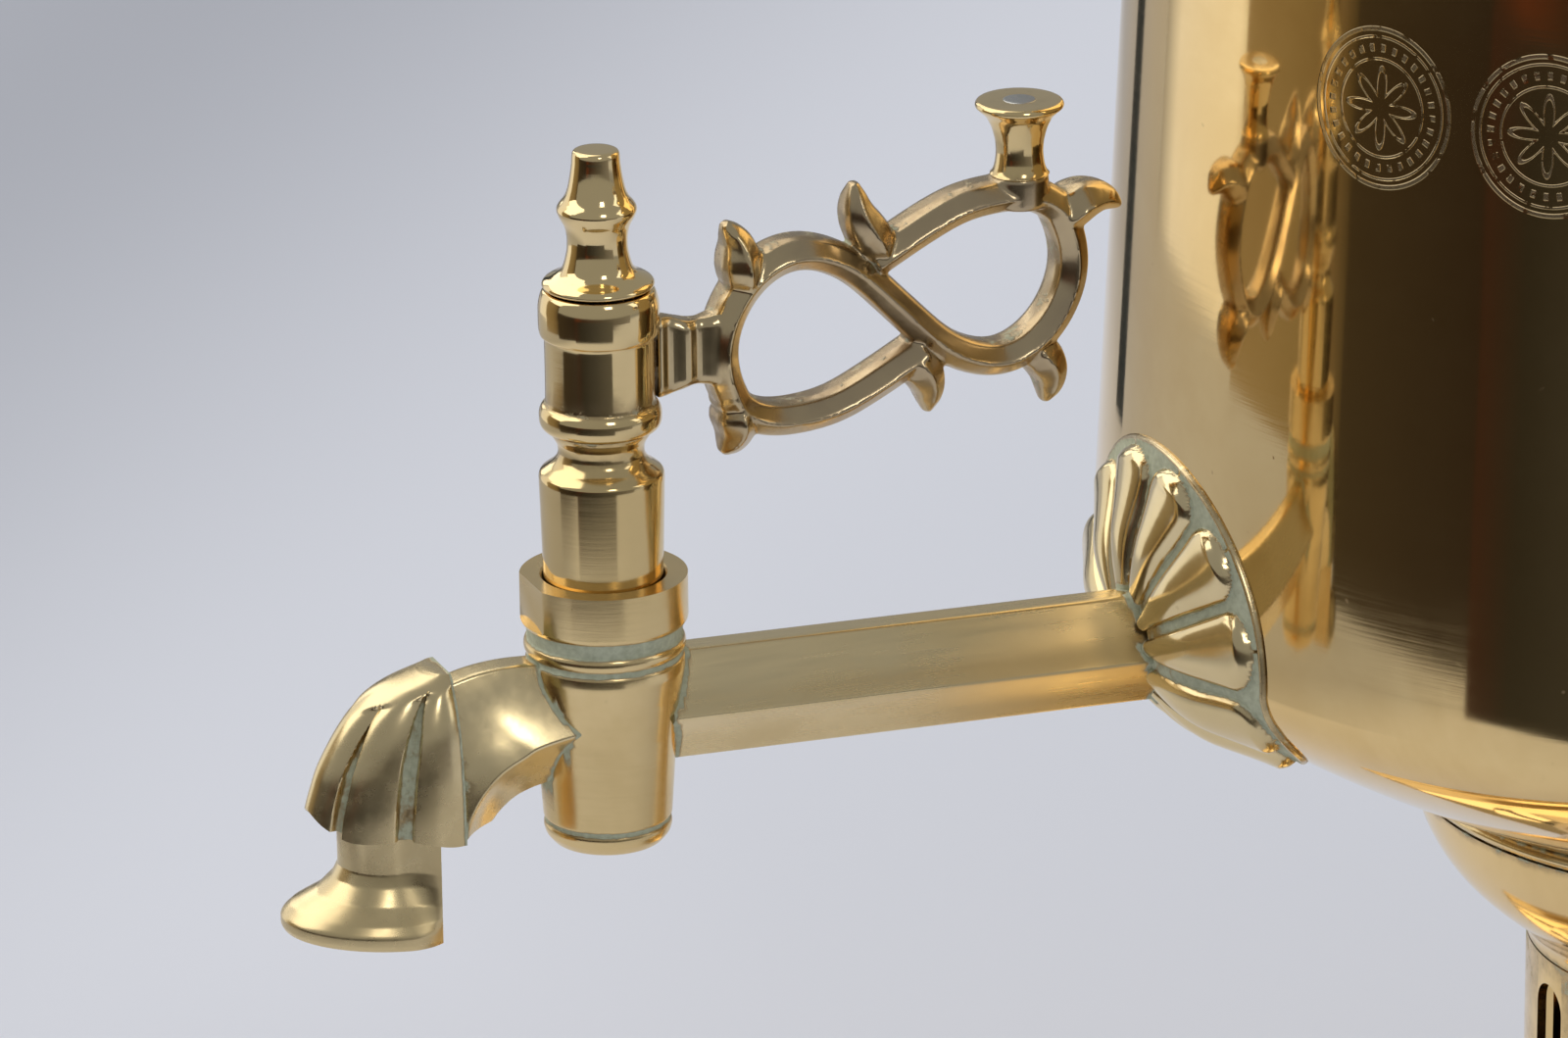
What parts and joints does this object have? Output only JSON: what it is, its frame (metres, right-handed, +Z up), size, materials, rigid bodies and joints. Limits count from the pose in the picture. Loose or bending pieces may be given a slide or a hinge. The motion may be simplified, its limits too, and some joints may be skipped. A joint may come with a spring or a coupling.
{
  "type": "samovar",
  "caption": "Charcoal samovar: brass vessel round a fire tube on a square footed base, with lid, crown, side handles and a plug tap worked by a pierced scroll key.",
  "frame": {"origin": "on the floor, under the middle of the whole outline", "axes": "+Z up along the vessel axis, the tap points along -Y, the side handles lie along X"},
  "size_m": [0.2842, 0.3392, 0.3914],
  "materials": {
    "polished_brass": "polished, lightly tarnished, with darker stain in the seams",
    "cast_brass": "cast and turned brass, satin to polished, verdigris in its grooves",
    "tinned_steel": "dull tinned sheet",
    "cast_iron": "rough, sooted",
    "steel_rod": "plain steel",
    "dark_wood": "turned wood, stained dark and varnished"
  },
  "bodies": {
    "body": {"vessel_shell": "polished_brass", "fire_tube": "tinned_steel", "fire_grate": "cast_iron", "waist_ring": "polished_brass", "neck_cup": "polished_brass", "neck": "polished_brass", "base_plate": "polished_brass", "foot_front_left": "cast_brass", "foot_front_right": "cast_brass", "foot_rear_left": "cast_brass", "foot_rear_right": "cast_brass", "rim_flange": "polished_brass", "grip_left": "dark_wood", "handle_arm_front_left": "cast_brass", "handle_arm_rear_left": "cast_brass", "grip_rod_left": "steel_rod", "grip_right": "dark_wood", "handle_arm_front_right": "cast_brass", "handle_arm_rear_right": "cast_brass", "grip_rod_right": "steel_rod", "tap_barrel": "cast_brass", "tap_pipe": "cast_brass", "tap_rosette": "cast_brass", "tap_strainer": "tinned_steel", "spout_elbow": "cast_brass", "spout_nozzle": "cast_brass", "spout_shell": "cast_brass"},
    "key": {"key_plug": "cast_brass", "key_sleeve": "cast_brass", "key_finial": "cast_brass", "key_scroll": "cast_brass", "key_thumb_knob": "cast_brass"},
    "lid_body": {"lid": "polished_brass", "lid_knob_stem_left": "cast_brass", "lid_knob_left": "dark_wood", "lid_knob_stem_right": "cast_brass", "lid_knob_right": "dark_wood", "steam_vent_seat": "cast_brass"},
    "vent_cap": {"steam_vent_cap": "cast_brass"},
    "crown_body": {"crown": "polished_brass", "crown_spigot": "polished_brass"},
    "cap_body": {"chimney_cap": "polished_brass", "cap_knob_stem": "cast_brass", "cap_knob": "dark_wood"}
  },
  "joints": [
    {"name": "tap_key_turn", "type": "hinge", "parent": "body", "child": "key", "pos_m": [0, -0.1192, 0.16], "axis": [0, 0, 1], "continuous": true},
    {"name": "lid_lift", "type": "slide", "parent": "body", "child": "lid_body", "axis": [0, 0, 1], "range_m": [0, 0.06]},
    {"name": "vent_cap_lift", "type": "slide", "parent": "lid_body", "child": "vent_cap", "axis": [0, 0, 1], "range_m": [0, 0.015]},
    {"name": "crown_lift", "type": "slide", "parent": "lid_body", "child": "crown_body", "axis": [0, 0, 1], "range_m": [0, 0.05]},
    {"name": "chimney_cap_lift", "type": "slide", "parent": "crown_body", "child": "cap_body", "axis": [0, 0, 1], "range_m": [0, 0.04]}
  ]
}
